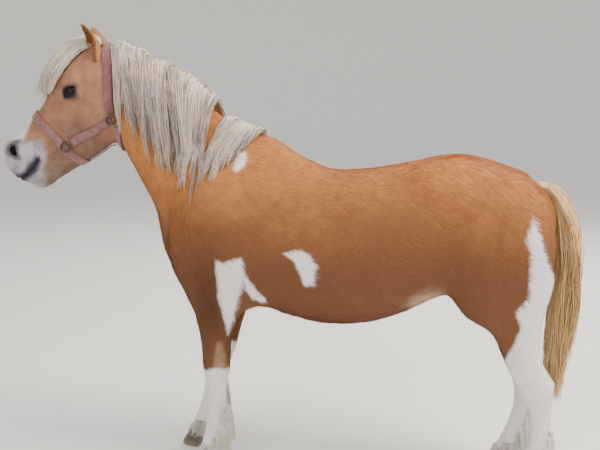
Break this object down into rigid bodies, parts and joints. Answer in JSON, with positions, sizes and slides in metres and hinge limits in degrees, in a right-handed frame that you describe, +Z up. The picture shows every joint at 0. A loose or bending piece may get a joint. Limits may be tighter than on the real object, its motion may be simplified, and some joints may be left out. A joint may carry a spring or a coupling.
{
  "type": "shetland pony",
  "caption": "Still life-size model of a stocky pony standing square in a webbing halter, with draped mane, forelock, tail and feathered fetlocks.",
  "frame": {"origin": "on the floor under the middle of the bounding box, midway between the soles' sides", "axes": "+X from the head towards the tail, +Y to the pony's right side, +Z up; the head points along -X and the left side faces -Y"},
  "size_m": [1.7178, 0.4492, 1.3404],
  "materials": {
    "chestnut_hair": "short matt coat",
    "white_hair": "short matt coat",
    "golden_hair": "long satin hair",
    "horn": "dull horn",
    "eye": "wet gloss",
    "webbing": "matt woven webbing",
    "steel": "satin"
  },
  "bodies": {
    "root": {"ear_left": "chestnut_hair", "ear_right": "chestnut_hair", "eye_left": "eye", "eye_right": "eye", "halter_cheek_left": "webbing", "halter_cheek_right": "webbing", "halter_crown": "webbing", "halter_jaw_strap": "webbing", "halter_noseband": "webbing", "halter_ring_left": "steel", "halter_ring_right": "steel", "halter_throat_strap": "webbing", "halter_upper_ring_left": "steel", "halter_upper_ring_right": "steel", "head": "chestnut_hair", "hoof_front_left": "horn", "hoof_front_right": "horn", "hoof_hind_left": "horn", "hoof_hind_right": "horn", "leg_front_left": "white_hair", "leg_front_right": "white_hair", "leg_hind_left": "white_hair", "leg_hind_right": "white_hair", "neck": "chestnut_hair", "tail": "golden_hair", "torso": "chestnut_hair"}
  },
  "joints": []
}
